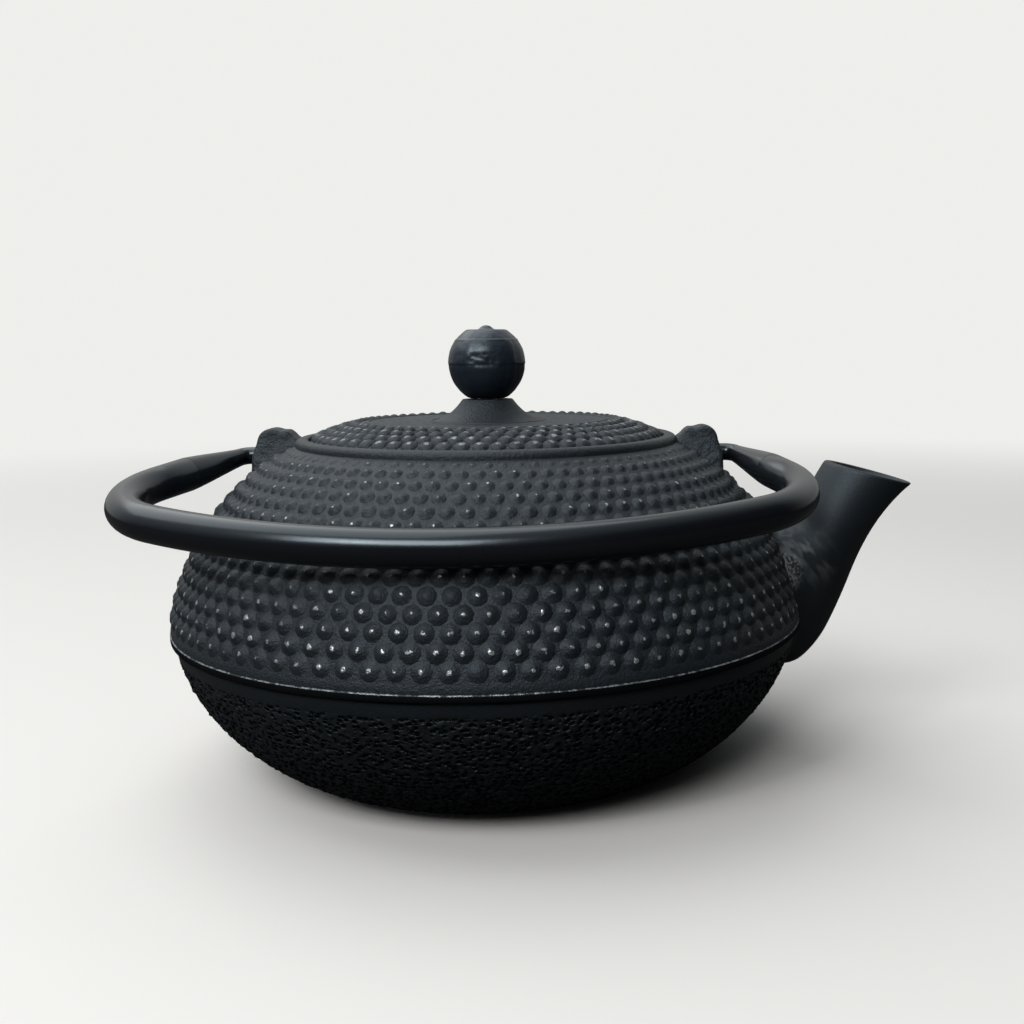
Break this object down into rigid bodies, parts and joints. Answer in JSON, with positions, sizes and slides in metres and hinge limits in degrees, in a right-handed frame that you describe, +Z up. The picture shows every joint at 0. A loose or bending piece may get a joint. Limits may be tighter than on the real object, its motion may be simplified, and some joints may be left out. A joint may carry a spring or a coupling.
{
  "type": "teapot",
  "caption": "Squat cast-iron teapot with dotted shoulder, spout, folding bail handle, lift-off lid with turning knob, and steel infuser.",
  "frame": {"origin": "centre of the flat foot, on the table plane", "axes": "+Z up, +X towards the spout, -Y towards the side on which the bail handle lies folded"},
  "size_m": [0.1922, 0.16, 0.1117],
  "materials": {
    "iron": "matte black paint on rough casting",
    "knob_iron": "satin black paint on casting",
    "bail_paint": "satin black paint on steel",
    "rivet_steel": "plain",
    "infuser_steel": "pressed stainless",
    "infuser_mesh": "woven stainless wire"
  },
  "bodies": {
    "pot": {"pot_body": "iron"},
    "lid": {"lid": "iron"},
    "knob": {"lid_knob": "knob_iron", "knob_rivet": "rivet_steel", "knob_washer": "rivet_steel"},
    "bail": {"bail_tube": "bail_paint", "bail_end_left": "bail_paint", "bail_end_right": "bail_paint"},
    "infuser": {"infuser_rim": "infuser_steel", "infuser_sleeve": "infuser_mesh", "infuser_floor": "infuser_mesh", "infuser_band": "infuser_steel"}
  },
  "joints": [
    {"name": "bail_swing", "type": "hinge", "parent": "pot", "child": "bail", "pos_m": [0, 0, 0.0789], "axis": [-1, 0, 0], "range_deg": [0, 198.4]},
    {"name": "lid_lift", "type": "slide", "parent": "pot", "child": "lid", "axis": [0, 0, 1], "range_m": [0, 0.18]},
    {"name": "knob_spin", "type": "hinge", "parent": "lid", "child": "knob", "pos_m": [0, 0, 0.093], "axis": [0, 0, 1], "continuous": true},
    {"name": "infuser_lift", "type": "slide", "parent": "pot", "child": "infuser", "axis": [0, 0, 1], "range_m": [0, 0.09]}
  ],
  "couplings": [
    {"joint": "infuser_lift", "follows": "lid_lift", "ratio": 0.5}
  ]
}
